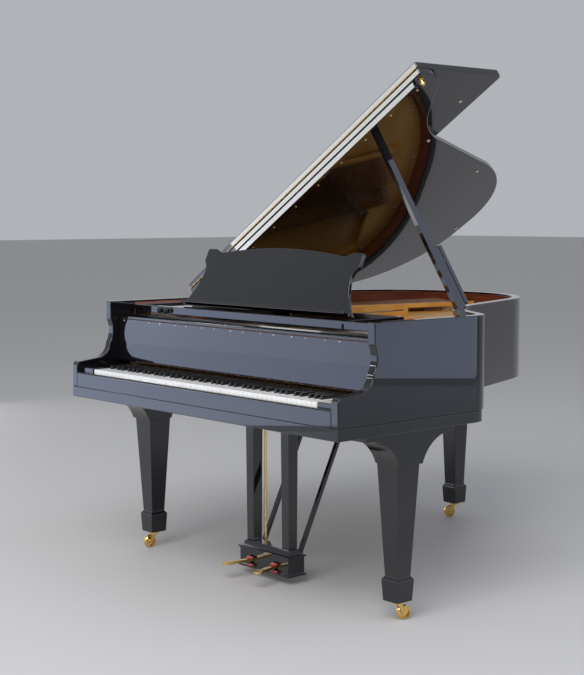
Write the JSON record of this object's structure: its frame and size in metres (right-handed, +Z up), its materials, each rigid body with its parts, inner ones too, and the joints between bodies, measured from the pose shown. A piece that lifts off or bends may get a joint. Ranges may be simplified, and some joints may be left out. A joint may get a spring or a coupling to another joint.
{
  "type": "grand piano",
  "caption": "Polished black grand piano with a propped lid, folded front lid, raised music desk, open fallboard, stringing, keyboard action, pedal lyre and castored legs.",
  "frame": {"origin": "on the floor under the middle of the room that the open piano fills", "axes": "+X from the bass side to the treble side, +Y from the player to the tail, +Z up"},
  "size_m": [1.494, 1.684, 1.7843],
  "materials": {
    "ebony_lacquer": "polished",
    "mahogany": "satin",
    "maple": "matte",
    "spruce": "satin",
    "iron": "gold bronze paint",
    "steel": "bright",
    "copper": "wound",
    "brass": "polished",
    "felt": "felt",
    "hammer_felt": "felt",
    "ivory_plastic": "gloss",
    "black_plastic": "satin",
    "damper_wood": "satin"
  },
  "bodies": {
    "case": {"outer_rim": "ebony_lacquer", "rim_lining": "mahogany", "inner_rim": "maple", "keybed": "ebony_lacquer", "belly_rail": "maple", "case_braces": "maple", "key_slip": "ebony_lacquer", "cheek_blocks": "ebony_lacquer", "soundboard": "spruce", "soundboard_ribs": "spruce", "string_bridges": "maple", "iron_plate": "iron", "pin_block": "maple", "tuning_pins": "steel", "plain_strings": "steel", "wound_strings": "copper", "stringing_felt": "felt", "plate_bolts": "steel", "stretcher": "ebony_lacquer", "leg_bass": "ebony_lacquer", "leg_treble": "ebony_lacquer", "leg_tail": "ebony_lacquer", "castor_sockets": "brass", "lyre_top_block": "ebony_lacquer", "lyre_pillars": "ebony_lacquer", "pedal_box": "ebony_lacquer", "lyre_braces": "ebony_lacquer", "lid_hinges": "brass", "prop_block": "ebony_lacquer", "desk_rails": "ebony_lacquer"},
    "lid": {"lid_main": "ebony_lacquer", "lid_batten": "ebony_lacquer", "flap_hinge": "brass"},
    "front_lid": {"lid_flap": "ebony_lacquer"},
    "prop": {"lid_prop": "ebony_lacquer"},
    "short_prop": {"short_prop": "ebony_lacquer"},
    "fallboard": {"fallboard": "ebony_lacquer"},
    "fallboard_lip": {"fallboard_lip": "ebony_lacquer"},
    "desk_tray": {"desk_tray": "ebony_lacquer"},
    "desk": {"desk_panel": "ebony_lacquer"},
    "desk_strut": {"desk_strut": "ebony_lacquer"},
    "key_frame": {"key_frame": "maple", "hammer_rail": "maple"},
    "naturals": {"natural_keys": "ivory_plastic"},
    "sharps": {"sharp_keys": "black_plastic"},
    "natural_hammers": {"natural_hammers": "hammer_felt"},
    "sharp_hammers": {"sharp_hammers": "hammer_felt"},
    "damper_tray": {"damper_tray": "maple"},
    "natural_dampers": {"natural_dampers": "damper_wood"},
    "sharp_dampers": {"sharp_dampers": "damper_wood"},
    "damper_pedal": {"damper_pedal": "brass"},
    "shift_pedal": {"shift_pedal": "brass"},
    "damper_pedal_rod": {"damper_pedal_rod": "brass"},
    "shift_pedal_rod": {"shift_pedal_rod": "brass"},
    "castor_bass": {"castor_fork_bass": "brass"},
    "wheel_bass": {"castor_wheel_bass": "brass"},
    "castor_treble": {"castor_fork_treble": "brass"},
    "wheel_treble": {"castor_wheel_treble": "brass"},
    "castor_tail": {"castor_fork_tail": "brass"},
    "wheel_tail": {"castor_wheel_tail": "brass"}
  },
  "joints": [
    {"name": "lid_hinge", "type": "hinge", "parent": "case", "child": "lid", "pos_m": [-0.726, -0.84, 0.9615], "axis": [0, -1, 0], "range_deg": [0, 20]},
    {"name": "front_lid_hinge", "type": "hinge", "parent": "lid", "child": "front_lid", "pos_m": [-0.1452, -0.278, 1.35315], "axis": [0.8499, 0, 0.527], "range_deg": [0, 180]},
    {"name": "prop_hinge", "type": "hinge", "parent": "case", "child": "prop", "pos_m": [0.672, -0.212, 0.944], "axis": [-0.3319, -0.9119, -0.2415], "range_deg": [0, 56]},
    {"name": "short_prop_hinge", "type": "hinge", "parent": "prop", "child": "short_prop", "pos_m": [0.53195, -0.21965, 1.1653], "axis": [-0.3319, -0.9119, -0.2415], "range_deg": [0, 40]},
    {"name": "fallboard_hinge", "type": "hinge", "parent": "case", "child": "fallboard", "pos_m": [0.017, -0.652, 0.742], "axis": [1, 0, 0], "range_deg": [0, 93]},
    {"name": "fallboard_lip_hinge", "type": "hinge", "parent": "fallboard", "child": "fallboard_lip", "pos_m": [0.017, -0.64844, 0.89327], "axis": [1, 0, 0], "range_deg": [0, 90]},
    {"name": "desk_slide", "type": "slide", "parent": "case", "child": "desk_tray", "axis": [0, 1, 0], "range_m": [-0.025, 0.06]},
    {"name": "desk_fold", "type": "hinge", "parent": "desk_tray", "child": "desk", "pos_m": [0.017, -0.52, 0.9493], "axis": [-1, 0, 0], "range_deg": [0, 60]},
    {"name": "desk_strut_hinge", "type": "hinge", "parent": "desk", "child": "desk_strut", "pos_m": [0.017, -0.47458, 1.03298], "axis": [1, 0, 0], "range_deg": [0, 120]},
    {"name": "damper_pedal_pivot", "type": "hinge", "parent": "case", "child": "damper_pedal", "pos_m": [0.017, -0.484, 0.0585], "axis": [1, 0, 0], "range_deg": [0, 4.5], "stiffness_Nm_per_rad": 20, "springref_deg": -5.73},
    {"name": "damper_rod_slide", "type": "slide", "parent": "case", "child": "damper_pedal_rod", "axis": [0, 0, 1], "range_m": [0, 0.00248]},
    {"name": "damper_tray_lift", "type": "slide", "parent": "case", "child": "damper_tray", "axis": [0, 0, 1], "range_m": [0, 0.004]},
    {"name": "key_frame_shift", "type": "slide", "parent": "case", "child": "key_frame", "axis": [1, 0, 0], "range_m": [0, 0.003], "stiffness_N_per_m": 6000, "springref_m": -0.006},
    {"name": "shift_pedal_pivot", "type": "hinge", "parent": "case", "child": "shift_pedal", "pos_m": [0.017, -0.484, 0.0585], "axis": [1, 0, 0], "range_deg": [0, 4.5]},
    {"name": "shift_rod_slide", "type": "slide", "parent": "case", "child": "shift_pedal_rod", "axis": [0, 0, 1], "range_m": [0, 0.00248]},
    {"name": "natural_key_balance", "type": "hinge", "parent": "key_frame", "child": "naturals", "pos_m": [0.017, -0.595, 0.693], "axis": [1, 0, 0], "range_deg": [0, 2.5], "stiffness_Nm_per_rad": 60, "springref_deg": -5.73},
    {"name": "sharp_key_balance", "type": "hinge", "parent": "key_frame", "child": "sharps", "pos_m": [0.017, -0.595, 0.693], "axis": [1, 0, 0], "range_deg": [0, 2.5], "stiffness_Nm_per_rad": 60, "springref_deg": -5.73},
    {"name": "natural_hammer_flange", "type": "hinge", "parent": "key_frame", "child": "natural_hammers", "pos_m": [0.017, -0.49, 0.822], "axis": [1, 0, 0], "range_deg": [0, 19.02]},
    {"name": "sharp_hammer_flange", "type": "hinge", "parent": "key_frame", "child": "sharp_hammers", "pos_m": [0.017, -0.49, 0.822], "axis": [1, 0, 0], "range_deg": [0, 19.02]},
    {"name": "natural_damper_lift", "type": "slide", "parent": "damper_tray", "child": "natural_dampers", "axis": [0, 0, 1], "range_m": [0, 0.0035]},
    {"name": "sharp_damper_lift", "type": "slide", "parent": "damper_tray", "child": "sharp_dampers", "axis": [0, 0, 1], "range_m": [0, 0.0035]},
    {"name": "castor_swivel_bass", "type": "hinge", "parent": "case", "child": "castor_bass", "pos_m": [-0.648, -0.522, 0.056], "axis": [0, 0, 1], "continuous": true},
    {"name": "castor_roll_bass", "type": "hinge", "parent": "castor_bass", "child": "wheel_bass", "pos_m": [-0.64974, -0.54192, 0.024], "axis": [0.9962, -0.0872, 0], "continuous": true},
    {"name": "castor_swivel_treble", "type": "hinge", "parent": "case", "child": "castor_treble", "pos_m": [0.682, -0.522, 0.056], "axis": [0, 0, 1], "continuous": true},
    {"name": "castor_roll_treble", "type": "hinge", "parent": "castor_treble", "child": "wheel_treble", "pos_m": [0.68917, -0.50333, 0.024], "axis": [-0.9336, 0.3584, 0], "continuous": true},
    {"name": "castor_swivel_tail", "type": "hinge", "parent": "case", "child": "castor_tail", "pos_m": [-0.253, 0.76, 0.056], "axis": [0, 0, 1], "continuous": true},
    {"name": "castor_roll_tail", "type": "hinge", "parent": "castor_tail", "child": "wheel_tail", "pos_m": [-0.26612, 0.74491, 0.024], "axis": [0.7547, -0.6561, 0], "continuous": true}
  ],
  "couplings": [
    {"joint": "desk_strut_hinge", "follows": "desk_fold", "ratio": 2},
    {"joint": "damper_rod_slide", "follows": "damper_pedal_pivot", "m_per_rad": 0.0315},
    {"joint": "shift_rod_slide", "follows": "key_frame_shift", "ratio": 0.82461},
    {"joint": "damper_tray_lift", "follows": "damper_pedal_pivot", "m_per_rad": 0.0509},
    {"joint": "shift_pedal_pivot", "follows": "key_frame_shift", "rad_per_m": 26.178},
    {"joint": "natural_hammer_flange", "follows": "natural_key_balance", "ratio": 7.6},
    {"joint": "sharp_hammer_flange", "follows": "sharp_key_balance", "ratio": 7.6},
    {"joint": "natural_damper_lift", "follows": "natural_key_balance", "m_per_rad": 0.0802},
    {"joint": "sharp_damper_lift", "follows": "sharp_key_balance", "m_per_rad": 0.0802}
  ]
}
